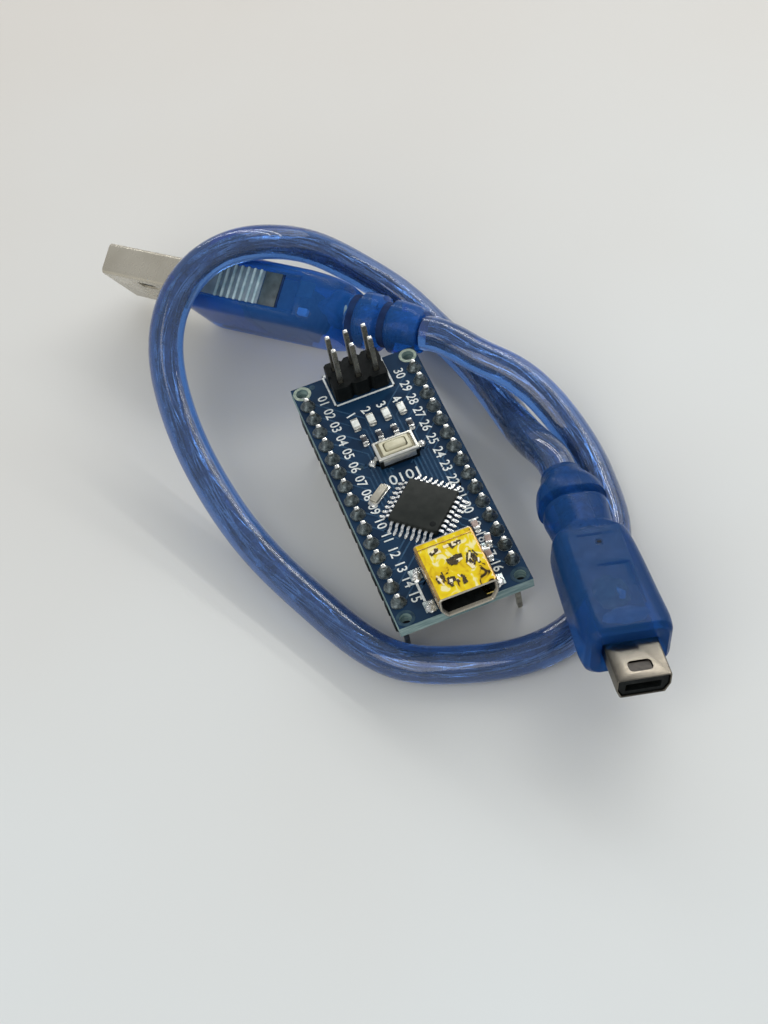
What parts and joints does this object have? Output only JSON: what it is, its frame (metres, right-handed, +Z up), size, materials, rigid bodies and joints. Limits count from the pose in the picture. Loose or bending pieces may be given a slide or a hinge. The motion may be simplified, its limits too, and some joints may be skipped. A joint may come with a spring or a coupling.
{
  "type": "microcontroller board",
  "caption": "Small microcontroller board with pin headers down both long sides, a reset button and a mini USB socket, with a short blue USB cable looped round it.",
  "frame": {"origin": "on the table under the middle of the board, midway between the pin rows and midway between the socket's mouth and the board's far end", "axes": "+Y along the board from the USB socket to the programming header, +X from the left pin row to the right one, +Z up from the pin tips to the components"},
  "size_m": [0.0532, 0.1038, 0.0219],
  "materials": {
    "board_blue": "satin solder mask over glass fibre, teal at the cut edges",
    "black_plastic": "moulded, slightly worn",
    "chip_grey": "fine grained moulded package",
    "tinned_metal": "tinned square pin with a bright solder cone",
    "nickel": "drawn nickel plate, warm, lightly rubbed",
    "button_cream": "smooth cream moulding",
    "led_white": "clear lens over a white body",
    "white_plastic": "moulded",
    "cable_blue": "translucent blue jacket over a silvery shield",
    "plug_blue_deep": "translucent deep blue moulding",
    "plug_blue_satin": "satin translucent blue moulding"
  },
  "bodies": {
    "board": {"circuit_board": "board_blue", "left_header_strip": "black_plastic", "right_header_strip": "black_plastic", "left_header_pin_01": "tinned_metal", "left_header_pin_02": "tinned_metal", "left_header_pin_03": "tinned_metal", "left_header_pin_04": "tinned_metal", "left_header_pin_05": "tinned_metal", "left_header_pin_06": "tinned_metal", "left_header_pin_07": "tinned_metal", "left_header_pin_08": "tinned_metal", "left_header_pin_09": "tinned_metal", "left_header_pin_10": "tinned_metal", "left_header_pin_11": "tinned_metal", "left_header_pin_12": "tinned_metal", "left_header_pin_13": "tinned_metal", "left_header_pin_14": "tinned_metal", "left_header_pin_15": "tinned_metal", "right_header_pin_01": "tinned_metal", "right_header_pin_02": "tinned_metal", "right_header_pin_03": "tinned_metal", "right_header_pin_04": "tinned_metal", "right_header_pin_05": "tinned_metal", "right_header_pin_06": "tinned_metal", "right_header_pin_07": "tinned_metal", "right_header_pin_08": "tinned_metal", "right_header_pin_09": "tinned_metal", "right_header_pin_10": "tinned_metal", "right_header_pin_11": "tinned_metal", "right_header_pin_12": "tinned_metal", "right_header_pin_13": "tinned_metal", "right_header_pin_14": "tinned_metal", "right_header_pin_15": "tinned_metal", "program_header_base": "black_plastic", "program_pin_1": "tinned_metal", "program_pin_2": "tinned_metal", "program_pin_3": "tinned_metal", "program_pin_4": "tinned_metal", "program_pin_5": "tinned_metal", "program_pin_6": "tinned_metal", "usb_socket_shell": "nickel", "usb_socket_insert": "black_plastic", "microcontroller": "chip_grey", "switch_base": "black_plastic", "switch_cover": "nickel", "crystal_can": "nickel", "status_led_1": "led_white", "status_led_2": "led_white", "status_led_3": "led_white", "status_led_4": "led_white", "usb_serial_chip": "chip_grey", "voltage_regulator": "chip_grey", "usb_cable": "cable_blue", "usb_a_shell": "nickel", "usb_a_insert": "white_plastic", "usb_a_overmold": "plug_blue_deep", "usb_mini_shell": "nickel", "usb_mini_insert": "black_plastic", "usb_mini_overmold": "plug_blue_satin"},
    "button": {"reset_button": "button_cream"}
  },
  "joints": [
    {"name": "reset_press", "type": "slide", "parent": "board", "child": "button", "axis": [0, 0, -1], "range_m": [0, 0.00025], "stiffness_N_per_m": 200, "springref_m": -0.0005}
  ]
}
